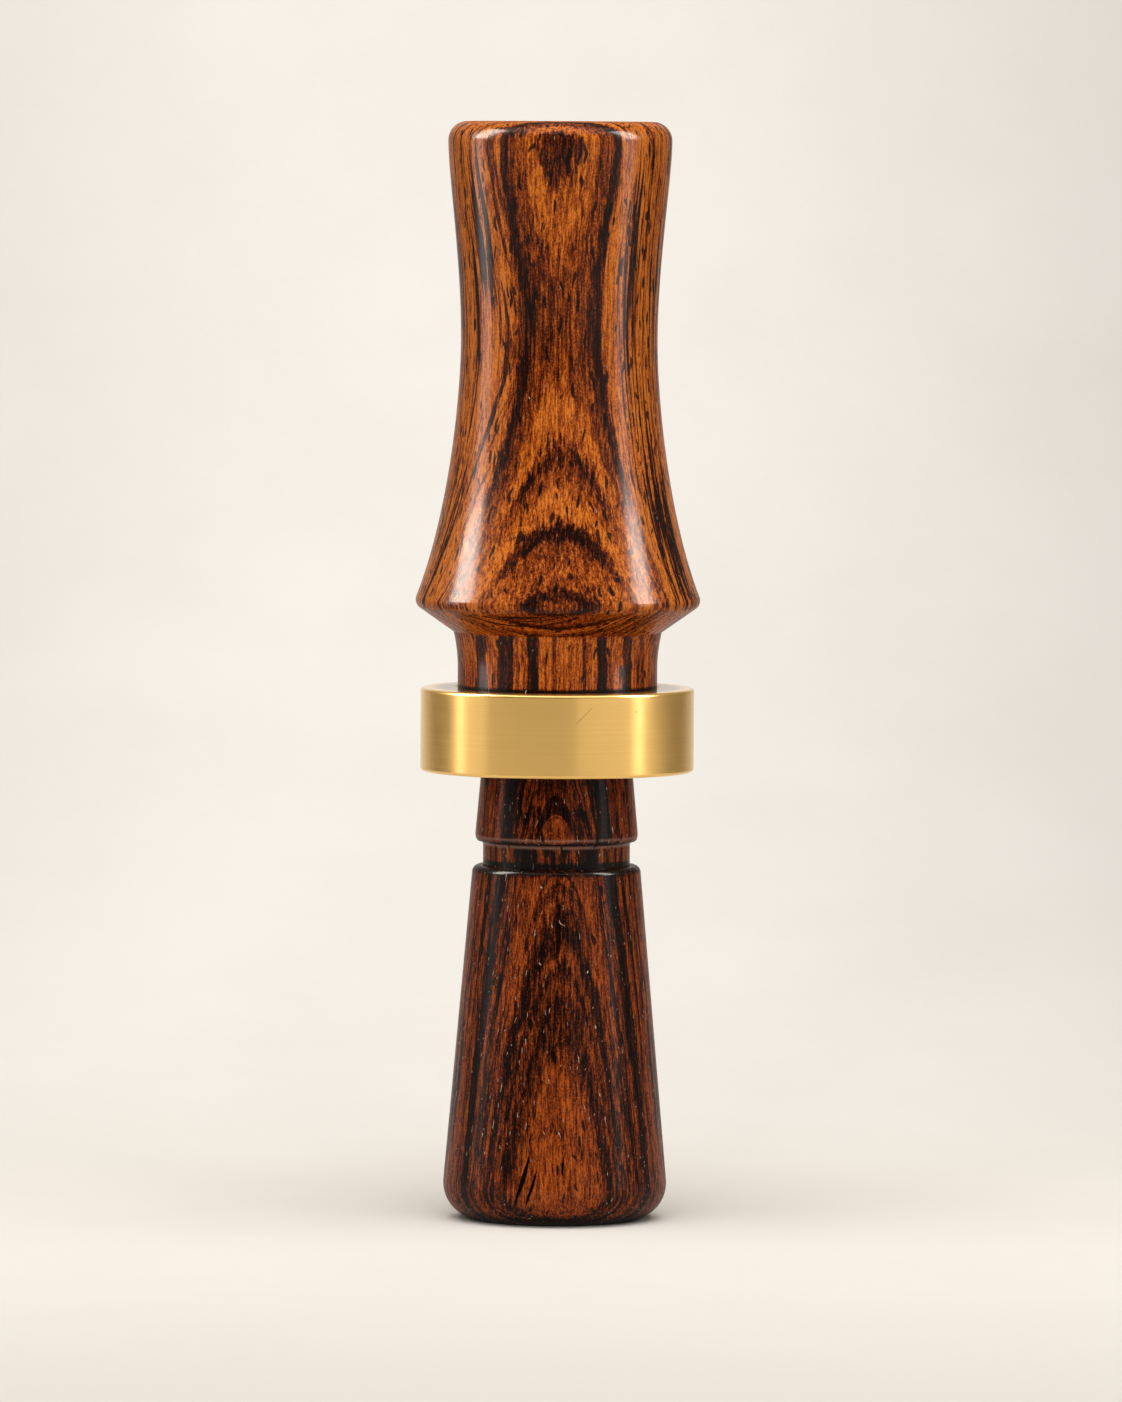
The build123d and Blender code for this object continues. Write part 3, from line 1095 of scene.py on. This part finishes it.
@dataclass
class Barrel:
    """The wooden barrel with its brass band."""

    bore: float = 7.94
    mouth_bore: float = 6.35
    mouth_radius: float = 14.25
    mouth_round: float = 2.4
    mouth_lip: float = 1.5
    mouth_level: float = 140.0
    waist_radius: float = 12.52
    waist_level: float = 112.3
    shoulder_radius: float = 18.4
    shoulder_round: float = 1.2
    shoulder_level: float = 78.65
    cove_radius: float = 13.27
    cove_level: float = 75.05
    neck_radius: float = 12.72
    neck_level: float = 70.35
    seat_level: float = 57.3
    chamber_top: float = 122.8
    flare_foot_angle: float = 22.0
    flare_foot_handle: float = 12.0
    flare_waist_handle: float = 7.0
    swell_waist_handle: float = 10.2
    swell_mouth_handle: float = 4.7
    band_inner: float = 12.75
    band_outer: float = 17.45
    band_top: float = 67.95
    band_round: float = 0.45
    band_chamfer: float = 0.5
    swell_gap: float = 0.001
    curve_parts: int = 36
    cove_parts: int = 8

    def wood(self, groups: Groups) -> bpy.types.Object:
        """Turns the wooden barrel.

        Args:
            groups: The shared node groups.

        Returns:
            The piece.
        """
        lathe = Lathe()
        lathe.to(self.bore, self.seat_level)
        lathe.to(self.neck_radius, self.seat_level)
        lathe.to(self.neck_radius, self.neck_level)
        third = (self.cove_level - self.neck_level) / 3
        lean = 2 * (self.cove_radius - self.neck_radius) / 3
        lathe.curve(
            (self.neck_radius, self.neck_level + third),
            (self.cove_radius - lean, self.cove_level - third),
            (self.cove_radius, self.cove_level),
            self.cove_parts,
        )
        lathe.to(self.shoulder_radius, self.shoulder_level, self.shoulder_round)
        angle = math.radians(self.flare_foot_angle)
        lathe.curve(
            (
                self.shoulder_radius - self.flare_foot_handle * math.sin(angle),
                self.shoulder_level + self.flare_foot_handle * math.cos(angle),
            ),
            (self.waist_radius, self.waist_level - self.flare_waist_handle),
            (self.waist_radius, self.waist_level),
            self.curve_parts,
        )
        swell_level = self.mouth_level - self.mouth_round
        lathe.curve(
            (self.waist_radius, self.waist_level + self.swell_waist_handle),
            (self.mouth_radius, swell_level - self.swell_mouth_handle),
            (self.mouth_radius, swell_level - self.swell_gap),
            self.curve_parts,
        )
        lathe.to(self.mouth_radius, self.mouth_level, self.mouth_round)
        lathe.to(self.mouth_bore, self.mouth_level, self.mouth_lip)
        lathe.to(self.mouth_bore, self.chamber_top + self.bore - self.mouth_bore)
        lathe.to(self.bore, self.chamber_top)
        piece = lathe.turn("turned_barrel")
        even_normals(piece)
        dress(piece, BARREL_WOOD, groups)
        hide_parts("barrel")
        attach(piece, "barrel")
        return piece

    def band(self, groups: Groups) -> bpy.types.Object:
        """Turns the brass band.

        Args:
            groups: The shared node groups.

        Returns:
            The piece.
        """
        lathe = Lathe()
        lathe.to(self.band_inner, self.seat_level)
        lathe.to(self.band_outer, self.seat_level, self.band_round)
        lathe.to(self.band_outer, self.band_top, self.band_round)
        lathe.to(self.band_inner + self.band_chamfer, self.band_top)
        lathe.to(self.band_inner, self.band_top - self.band_chamfer)
        piece = lathe.turn("brass_band")
        even_normals(piece)
        dress(piece, BRASS, groups)
        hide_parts("band")
        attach(piece, "barrel")
        return piece


@dataclass(frozen=True)
class Check:
    """A drying check in the insert's foot: its path, as places across and above the floor, and its width."""

    path: tuple[Pair, ...]
    width: float


FOOT_CHECKS = (
    Check(((-3.25, 9.4), (-3.45, 8.3), (-3.82, 6.9), (-4.25, 5.4), (-4.8, 3.9), (-5.2, 2.4)), 0.58),
    Check(((-2.2, 7.7), (-2.55, 6.4), (-2.9, 5.2), (-3.35, 3.9), (-3.7, 2.5)), 0.44),
    Check(((1.12, 9.2), (1.0, 8.0), (1.02, 6.8)), 0.36),
)


@dataclass
class Insert:
    """The wooden insert with its collar, lanyard groove, flared foot and tenon."""

    foot_radius: float = 14.68
    foot_round: float = 4.65
    cone_top_radius: float = 10.68
    cone_level: float = 45.3
    cone_round: float = 0.9
    groove_radius: float = 9.37
    groove_top: float = 48.35
    groove_round: float = 0.5
    collar_foot_radius: float = 10.45
    collar_round: float = 0.95
    collar_top_radius: float = 9.65
    seat_level: float = 57.3
    tenon_radius: float = 7.74
    tenon_top: float = 73.3
    tenon_chamfer: float = 0.5
    ring_groove_radius: float = 6.17
    ring_groove_half: float = 1.11
    ring_levels: tuple[float, ...] = (61.5, 68.7)
    socket_radius: float = 4.76
    socket_bottom: float = 59.3
    windway_radius: float = 3.97
    exhaust_radius: float = 6.35
    exhaust_depth: float = 24.0
    exhaust_lip: float = 1.0
    check_depth: float = 1.5
    check_reach: float = 4.5
    check_tip: float = 0.1
    checks: tuple[Check, ...] = FOOT_CHECKS

    def wood(self, groups: Groups) -> bpy.types.Object:
        """Turns the wooden insert and opens its drying checks.

        Args:
            groups: The shared node groups.

        Returns:
            The piece.
        """
        lathe = Lathe()
        lathe.to(self.exhaust_radius, 0.0, self.exhaust_lip)
        lathe.to(self.foot_radius, 0.0, self.foot_round)
        lathe.to(self.cone_top_radius, self.cone_level, self.cone_round)
        lathe.to(self.groove_radius, self.cone_level)
        lathe.to(self.groove_radius, self.groove_top, self.groove_round)
        lathe.to(self.collar_foot_radius, self.groove_top, self.collar_round)
        lathe.to(self.collar_top_radius, self.seat_level)
        lathe.to(self.tenon_radius, self.seat_level)
        for level in self.ring_levels:
            lathe.to(self.tenon_radius, level - self.ring_groove_half)
            lathe.to(self.ring_groove_radius, level - self.ring_groove_half)
            lathe.to(self.ring_groove_radius, level + self.ring_groove_half)
            lathe.to(self.tenon_radius, level + self.ring_groove_half)
        lathe.to(self.tenon_radius, self.tenon_top - self.tenon_chamfer)
        lathe.to(self.tenon_radius - self.tenon_chamfer, self.tenon_top)
        lathe.to(self.socket_radius, self.tenon_top)
        lathe.to(self.socket_radius, self.socket_bottom)
        lathe.to(self.windway_radius, self.socket_bottom)
        lathe.to(self.windway_radius, self.exhaust_depth + self.exhaust_radius - self.windway_radius)
        lathe.to(self.exhaust_radius, self.exhaust_depth)
        piece = lathe.turn("turned_insert")
        dress(piece, INSERT_WOOD, groups)
        carve(piece, self.check_cutter(groups))
        even_normals(piece)
        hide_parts("insert")
        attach(piece, "insert")
        return piece

    def check_cutter(self, groups: Groups) -> bpy.types.Object:
        """Makes the thin blades that open the drying checks.

        Args:
            groups: The shared node groups.

        Returns:
            The cutter.
        """
        mesh = bmesh.new()
        for check in self.checks:
            last = len(check.path) - 1
            left, right = [], []
            for index, (across, height) in enumerate(check.path):
                swell = math.sin(math.pi * index / last)
                half = check.width / 2 * (self.check_tip + (1 - self.check_tip) * swell)
                narrowing = self.foot_radius - self.cone_top_radius
                radius = self.foot_radius - height * narrowing / self.cone_level
                inside = -math.sqrt(radius**2 - across**2) + self.check_depth
                left.append(mesh.verts.new(Vector((across - half, inside, height)) * MM))
                right.append(mesh.verts.new(Vector((across + half, inside, height)) * MM))
            faces = [mesh.faces.new(quad) for quad in zip(left, right, right[1:], left[1:])]
            swept(mesh, faces, (0.0, -self.check_reach, 0.0))
        bmesh.ops.recalc_face_normals(mesh, faces=mesh.faces)
        cutter = finished(mesh, "check_cutter")
        cutter.data.materials.append(SHADED_RAW_WOOD.material(groups))
        return cutter


class Reed(Enum):
    """The two reeds, each with its node's name."""

    LOWER = "lower_reed"
    UPPER = "upper_reed"


@dataclass
class ToneBoard:
    """The tone board with its two reeds and the cork wedge that holds them."""

    plug_radius: float = 4.74
    plug_bottom: float = 59.3
    block_bottom: float = 73.3
    stem_radius: float = 7.3
    stem_tip: float = 119.8
    tip_round: float = 1.2
    slot_bottom: float = 74.8
    slot_mouth: float = 84.8
    slot_roof: float = 4.7
    bed_offset: float = 1.0
    bed_angle: float = 1.3
    tip_curve_length: float = 12.0
    tip_curve_drop: float = 0.6
    tip_curve_parts: int = 10
    cut_clearance: float = 1.0
    turn_steps: int = 96
    channel_radius: float = 2.9
    channel_end: float = 114.8
    edge_bevel: float = 0.12
    edge_segments: int = 2
    reed_half_width: float = 6.23
    reed_corner: float = 2.5
    reed_corner_segments: int = 8
    reed_start: float = 74.9
    reed_backs: dict[Reed, float] = field(default_factory=lambda: {Reed.LOWER: 1.02, Reed.UPPER: 1.40})
    reed_thicknesses: dict[Reed, float] = field(default_factory=lambda: {Reed.LOWER: 0.36, Reed.UPPER: 0.26})
    reed_ends: dict[Reed, float] = field(default_factory=lambda: {Reed.LOWER: 118.2, Reed.UPPER: 115.6})
    reed_rows: int = 44
    bend_start: float = 85.6
    bend_end: float = 106.0
    wedge_half_width: float = 5.335
    wedge_back: float = 1.68
    wedge_thickness: float = 3.0
    wedge_top: float = 86.0
    wedge_bevel: float = 0.35
    wedge_segments: int = 3
    wedge_cuts: int = 7
    wedge_pit: float = 0.14
    wedge_pit_rarity: int = 3
    wedge_seed: int = 5

    def board(self, groups: Groups) -> bpy.types.Object:
        """Makes the tone board from a turned blank.

        Args:
            groups: The shared node groups.

        Returns:
            The piece.
        """
        lathe = Lathe()
        lathe.to(self.channel_radius, self.plug_bottom)
        lathe.to(self.plug_radius, self.plug_bottom)
        lathe.to(self.plug_radius, self.block_bottom)
        lathe.to(self.stem_radius, self.block_bottom)
        lathe.to(self.stem_radius, self.stem_tip, self.tip_round)
        lathe.to(0.0, self.stem_tip)
        lathe.to(0.0, self.channel_end)
        lathe.to(self.channel_radius, self.channel_end)
        piece = lathe.turn("tone_board_blank", self.turn_steps)
        piece.name = "cut_tone_board"
        dress(piece, ACETAL, groups)
        carve(piece, side_cut(self.bed_outline(), self.stem_radius + self.cut_clearance))
        bevel = piece.modifiers.new("broken_edges", "BEVEL")
        bevel.width = self.edge_bevel * MM
        bevel.segments = self.edge_segments
        bevel.limit_method = "ANGLE"
        bevel.angle_limit = SHARP_ANGLE
        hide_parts("tone_board")
        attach(piece, "insert")
        return piece

    def bed_outline(self) -> list[Pair]:
        """Lists the corners of what is cut away above the reed bed.

        Returns:
            The corners, as depth and height in mm.
        """
        slope = math.tan(math.radians(self.bed_angle))
        curve_level = self.stem_tip - self.tip_curve_length
        corners = [(-self.bed_offset, self.slot_bottom)]
        for step in range(self.tip_curve_parts + 1):
            rise = step / self.tip_curve_parts
            height = curve_level + rise * self.tip_curve_length
            straight = slope * (height - self.slot_bottom) - self.bed_offset
            deep = straight + self.tip_curve_drop * rise**2
            corners.append((deep, height))
        beyond = 2 * self.stem_radius
        clear = self.stem_tip + self.cut_clearance
        corners += [(corners[-1][0], clear), (-beyond, clear), (-beyond, self.slot_mouth)]
        corners += [(-self.slot_roof, self.slot_mouth), (-self.slot_roof, self.slot_bottom)]
        return corners

    def reed(self, kind: Reed, groups: Groups) -> bpy.types.Object:
        """Cuts a reed from film that can bend along its length.

        Args:
            kind: Which of the reeds.
            groups: The shared node groups.

        Returns:
            The piece.
        """
        half, back, end = self.reed_half_width, self.reed_backs[kind], self.reed_ends[kind]
        mesh = bmesh.new()
        corners = ((-half, self.reed_start), (half, self.reed_start), (half, end), (-half, end))
        outline = [mesh.verts.new(Vector((across, -back, height)) * MM) for across, height in corners]
        mesh.faces.new(outline)
        bevelled(mesh, outline[2:], self.reed_corner * MM, Softened.CORNERS, self.reed_corner_segments)
        for row in range(1, self.reed_rows):
            level = self.reed_start + (end - self.reed_corner - self.reed_start) * row / self.reed_rows
            whole = mesh.verts[:] + mesh.edges[:] + mesh.faces[:]
            middle = (0.0, 0.0, level * MM)
            bmesh.ops.bisect_plane(mesh, geom=whole, plane_co=middle, plane_no=(0.0, 0.0, 1.0))
        swept(mesh, mesh.faces[:], (0.0, -self.reed_thicknesses[kind], 0.0))
        bmesh.ops.recalc_face_normals(mesh, faces=mesh.faces)
        piece = finished(mesh, f"cut_{kind.value}")
        dress(piece, REED_FILM, groups)
        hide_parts(kind.value)
        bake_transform(piece)
        return piece

    def wedge(self, groups: Groups) -> bpy.types.Object:
        """Makes the cork wedge.

        Args:
            groups: The shared node groups.

        Returns:
            The piece.
        """
        mesh = bmesh.new()
        height = self.wedge_top - self.slot_bottom
        middle = (0.0, -self.wedge_back - self.wedge_thickness / 2, self.slot_bottom + height / 2)
        size = Matrix.Diagonal((2 * self.wedge_half_width, self.wedge_thickness, height, 1.0))
        place = Matrix.Translation(Vector(middle) * MM) @ Matrix.Scale(MM, 4) @ size
        bmesh.ops.create_cube(mesh, size=1.0, matrix=place)
        bevelled(mesh, mesh.edges[:], self.wedge_bevel * MM, Softened.EDGES, self.wedge_segments)
        bmesh.ops.subdivide_edges(mesh, edges=mesh.edges[:], cuts=self.wedge_cuts, use_grid_fill=True)
        torn = random.Random(self.wedge_seed)
        for corner in mesh.verts:
            pit = self.wedge_pit * torn.random() ** self.wedge_pit_rarity * MM
            corner.co += (Vector(middle) * MM - corner.co).normalized() * pit
        bmesh.ops.recalc_face_normals(mesh, faces=mesh.faces)
        piece = finished(mesh, "cork_wedge")
        dress(piece, CORK, groups)
        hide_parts("wedge")
        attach(piece, "wedge")
        return piece


@dataclass
class Seals:
    """The two O-rings on the insert's tenon."""

    centre_radius: float = 7.05
    section_radius: float = 0.86
    levels: tuple[tuple[str, float], ...] = (("lower_o_ring", 61.5), ("upper_o_ring", 68.7))
    flash: float = 0.03
    section_parts: int = 32
    turn_steps: int = 128

    def ring(self, node: str, level: float, groups: Groups) -> bpy.types.Object:
        """Makes a ring with the fine parting line of its mould.

        Args:
            node: The CAD node that it stands for.
            level: Level of its centre, in mm.
            groups: The shared node groups.

        Returns:
            The piece.
        """
        lathe = Lathe()
        for part in range(self.section_parts):
            angle = math.tau * part / self.section_parts
            reach = self.section_radius - self.flash
            if part in (0, self.section_parts // 2):
                reach = self.section_radius
            lathe.to(self.centre_radius + reach * math.cos(angle), level + reach * math.sin(angle))
        piece = lathe.turn(f"rubber_{node}", self.turn_steps)
        dress(piece, RUBBER, groups)
        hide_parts(node)
        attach(piece, "seal_rings")
        return piece


WARM_LIGHT = (1.0, 0.92, 0.82)


@dataclass(frozen=True)
class SoftBox:
    """A soft light that stands beside the call, with its size in metres and its power in watts.

    The bearing is in degrees from the camera's side. shades and mirrored say whether dull and glossy surfaces
    show it, and barrel_only keeps it off everything but the barrel.
    """

    name: str
    bearing: float
    distance: float
    height: float
    width: float
    tall: float
    power: float
    shades: bool = True
    mirrored: bool = True
    barrel_only: bool = False
    colour: Triple = (1.0, 0.985, 0.965)


SOFT_BOXES = (
    SoftBox("left_high_box", -91.0, 0.62, 0.5, 0.26, 0.54, 19.0, shades=False, colour=WARM_LIGHT),
    SoftBox("right_high_box", 80.0, 0.66, 0.52, 0.22, 0.52, 14.0, shades=False, colour=WARM_LIGHT),
    SoftBox("left_wall", -80.0, 0.64, 0.14, 0.46, 0.4, 0.28, shades=False),
    SoftBox("left_strip", -88.0, 0.6, 0.14, 0.1, 0.4, 0.19, shades=False),
    SoftBox("right_wall", 52.0, 0.72, 0.14, 1.06, 0.4, 0.62, shades=False),
    SoftBox("right_strip", 72.0, 0.6, 0.14, 0.11, 0.4, 0.24, shades=False),
    SoftBox("left_sheen", -94.0, 0.6, 0.14, 0.16, 0.4, 1.3, shades=False, barrel_only=True),
    SoftBox("right_sheen", 76.0, 0.6, 0.14, 0.14, 0.4, 1.0, shades=False, barrel_only=True),
    SoftBox("top_box", 0.0, 0.35, 1.2, 1.6, 1.1, 13.2),
    SoftBox("front_fill", 0.0, 1.7, 0.7, 1.4, 0.8, 12.2, mirrored=False),
)


@dataclass(frozen=True)
class StudioPaper:
    """Paper that is shaded on the floor with painted shade towards the front, evenly pale on the wall with
    painted shade to the sides, glowing before the call for what mirrors see, and open from behind.

    Distances are in metres from the call, and a pair of values is a range.
    """

    name: str
    fibres: Noise = Noise((900.0, 900.0, 900.0), 3.0, 0.6)
    fibre_share: float = 0.15
    clouds: Noise = Noise((16.0, 16.0, 16.0), 4.0, 0.6)
    cloud_share: float = 0.85
    floor_colours: tuple[Colour, Colour] = (tone(248, 244, 238), tone(251, 247, 241))
    front_shade_colour: Colour = tone(231, 226, 219)
    front_edge: Pair = (-0.22, -0.03)
    bounce_colour: Colour = tone(170, 164, 155)
    wall_colours: tuple[Colour, Colour] = (tone(244, 238, 228), tone(250, 244, 235))
    wall_middle: float = -0.02
    wall_reach: float = 0.34
    wall_seen_fade: float = 0.3
    side_shade_colour: Colour = tone(112, 104, 95)
    glow_colour: Colour = tone(203, 197, 189)
    glow_edge: Pair = (-0.06, 0.02)
    wall_edge: Pair = (0.02, 0.2)
    front_glow_edge: Pair = (-0.12, -0.35)

    def material(self) -> bpy.types.Material:
        """Makes the material.

        Returns:
            The material.
        """
        material, graph, surface = new_material(self.name)
        place = graph.place()
        across, deep, _ = graph.axes(place)
        path = graph.add("ShaderNodeLightPath", {}, {})
        seen = path.outputs["Is Camera Ray"]
        mirrored = graph.math("MAXIMUM", path.outputs["Is Glossy Ray"], path.outputs["Is Transmission Ray"])
        shown_pale = graph.math("MAXIMUM", seen, mirrored)
        fibres = graph.math("MULTIPLY", graph.scaled(place, self.fibres), self.fibre_share)
        clouds = graph.math("MULTIPLY", graph.scaled(place, self.clouds), self.cloud_share)
        shade = graph.span(graph.math("ADD", fibres, clouds), *NOISE_BODY)
        floor = graph.mix(shade, *self.floor_colours)
        # Painted shade: the floor darkens towards the front.
        floor = graph.mix(graph.span(deep, *self.front_edge), self.front_shade_colour, floor)
        graph.feed(surface.inputs["Base Color"], graph.mix(shown_pale, self.bounce_colour, floor))
        graph.feed(surface.inputs["Specular IOR Level"], 0.0)
        # Painted shade: the wall darkens to the sides, a little as seen and fully in reflections.
        away = graph.span(graph.apart(across, self.wall_middle), 0.0, self.wall_reach)
        fade = graph.math("MINIMUM", away, graph.span(seen, 0.0, 1.0, 1.0, self.wall_seen_fade))
        wall = graph.mix(fade, graph.mix(shade, *self.wall_colours), self.side_shade_colour)
        glow = graph.mix(graph.span(deep, *self.glow_edge), self.glow_colour, wall)
        even = graph.add("ShaderNodeEmission", {}, {"Color": glow, "Strength": 1.0}).outputs[0]
        behind_call = graph.math("MULTIPLY", shown_pale, graph.span(deep, *self.wall_edge))
        before_call = graph.math("MULTIPLY", mirrored, graph.span(deep, *self.front_glow_edge))
        plain = graph.math("MAXIMUM", behind_call, before_call)
        lit = graph.add("ShaderNodeMixShader", {}, {0: plain, 1: surface.outputs[0], 2: even}).outputs[0]
        behind = graph.add("ShaderNodeNewGeometry", {}, {}).outputs["Backfacing"]
        gone = graph.add("ShaderNodeBsdfTransparent", {}, {}).outputs[0]
        shown = graph.add("ShaderNodeMixShader", {}, {0: behind, 1: lit, 2: gone})
        output = next(node for node in graph.tree.nodes if node.type == "OUTPUT_MATERIAL")
        graph.feed(output.inputs["Surface"], shown.outputs[0])
        return material


PAPER = StudioPaper("studio_paper")


def facing(place: Vector, target: Vector) -> Matrix:
    """Returns the turn of a camera or light that looks from a place at a target."""
    return (target - place).to_track_quat("-Z", "Y").to_matrix().to_4x4()


@dataclass
class Studio:
    """The pale floor and backdrop, the lights and the camera, in metres and degrees."""

    lens: float = 274.7
    sensor: float = 36.0
    near_clip: float = 0.01
    camera_place: Triple = (0.00047, -1.362, 0.147)
    aim_height: float = 0.0662
    roll: float = 0.32
    floor_half: float = 2.5
    sweep_start: float = 0.06
    sweep_radius: float = 0.3
    sweep_steps: int = 24
    wall_height: float = 1.6
    light_aim: float = 0.07
    room_colour: Colour = tone(246, 240, 231)
    room_light: float = 0.22
    room_glint: float = 0.02

    def camera(self) -> None:
        """Stands the camera at the photo's viewing angle and shows colours as they are."""
        bpy.context.scene.view_settings.view_transform = "Standard"
        data = bpy.data.cameras.new("studio_camera")
        data.lens = self.lens
        data.sensor_width = self.sensor
        data.clip_start = self.near_clip
        camera = bpy.data.objects.new("studio_camera", data)
        place = Vector(self.camera_place)
        aim = Vector((place.x, 0.0, self.aim_height))
        roll = Matrix.Rotation(math.radians(self.roll), 4, "Z")
        camera.matrix_world = Matrix.Translation(place) @ facing(place, aim) @ roll
        bpy.context.scene.collection.objects.link(camera)
        bpy.context.scene.camera = camera

    def lights(self, barrel: bpy.types.Object) -> None:
        """Stands the soft boxes round the call.

        Args:
            barrel: The lacquered barrel, which alone mirrors some of the boxes.
        """
        lacquered = bpy.data.collections.new("lacquered_barrel")
        lacquered.objects.link(barrel)
        for box in SOFT_BOXES:
            data = bpy.data.lights.new(box.name, "AREA")
            data.shape = "RECTANGLE"
            data.size = box.width
            data.size_y = box.tall
            data.energy = box.power
            data.color = box.colour
            light = bpy.data.objects.new(box.name, data)
            light.visible_camera = False
            light.visible_diffuse = box.shades
            light.visible_glossy = box.mirrored
            if box.barrel_only:
                light.light_linking.receiver_collection = lacquered
            bearing = math.radians(box.bearing)
            place = Vector((math.sin(bearing) * box.distance, -math.cos(bearing) * box.distance, box.height))
            target = Vector((0.0, 0.0, min(box.height, self.light_aim)))
            light.matrix_world = Matrix.Translation(place) @ facing(place, target)
            bpy.context.scene.collection.objects.link(light)

    def world(self) -> None:
        """Lights the room evenly; what shines sees a darker room."""
        world = bpy.data.worlds.new("studio_room")
        world.use_nodes = True
        world.node_tree.nodes.clear()
        graph = Graph(world.node_tree)
        path = graph.add("ShaderNodeLightPath", {}, {})
        strength = graph.span(path.outputs["Is Glossy Ray"], 0.0, 1.0, self.room_light, self.room_glint)
        strength = graph.math("MAXIMUM", strength, path.outputs["Is Camera Ray"])
        background = graph.add("ShaderNodeBackground", {}, {"Color": self.room_colour, "Strength": strength})
        graph.add("ShaderNodeOutputWorld", {}, {"Surface": background.outputs[0]})
        bpy.context.scene.world = world

    def floor(self) -> None:
        """Lays the paper that is the floor and rises behind the call as a backdrop."""
        mesh = bmesh.new()
        front = mesh.verts.new((-self.floor_half, -self.floor_half, 0.0))
        start = mesh.verts.new((-self.floor_half, self.sweep_start, 0.0))
        mesh.edges.new((front, start))
        row = bmesh.ops.spin(
            mesh,
            geom=[start],
            cent=(0.0, self.sweep_start, self.sweep_radius),
            axis=(1.0, 0.0, 0.0),
            angle=math.pi / 2,
            steps=self.sweep_steps,
        )["geom_last"]
        top = bmesh.ops.extrude_vert_indiv(mesh, verts=corners_of(row))["verts"]
        bmesh.ops.translate(mesh, verts=top, vec=(0.0, 0.0, self.wall_height))
        wide = bmesh.ops.extrude_edge_only(mesh, edges=mesh.edges[:])["geom"]
        bmesh.ops.translate(mesh, verts=corners_of(wide), vec=(2 * self.floor_half, 0.0, 0.0))
        bmesh.ops.recalc_face_normals(mesh, faces=mesh.faces)
        if sum(face.normal.z * face.calc_area() for face in mesh.faces) < 0:
            bmesh.ops.reverse_faces(mesh, faces=mesh.faces)
        backdrop = finished(mesh, "studio_paper")
        backdrop.data.materials.append(PAPER.material())


def main() -> None:
    """Builds the call and its studio."""
    logging.basicConfig(level=logging.INFO, format="%(message)s")
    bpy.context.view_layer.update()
    groups = Groups()
    barrel = Barrel()
    insert = Insert()
    board = ToneBoard()
    seals = Seals()
    pieces = [barrel.wood(groups), insert.wood(groups), barrel.band(groups), board.board(groups)]
    pieces += [board.reed(kind, groups) for kind in Reed]
    pieces.append(board.wedge(groups))
    pieces += [seals.ring(node, level, groups) for node, level in seals.levels]
    for piece in pieces:
        log.info("built %s with %d faces", piece.name, len(piece.data.polygons))
    studio = Studio()
    studio.camera()
    studio.lights(pieces[0])
    studio.world()
    studio.floor()


if __name__ == "__main__":
    main()
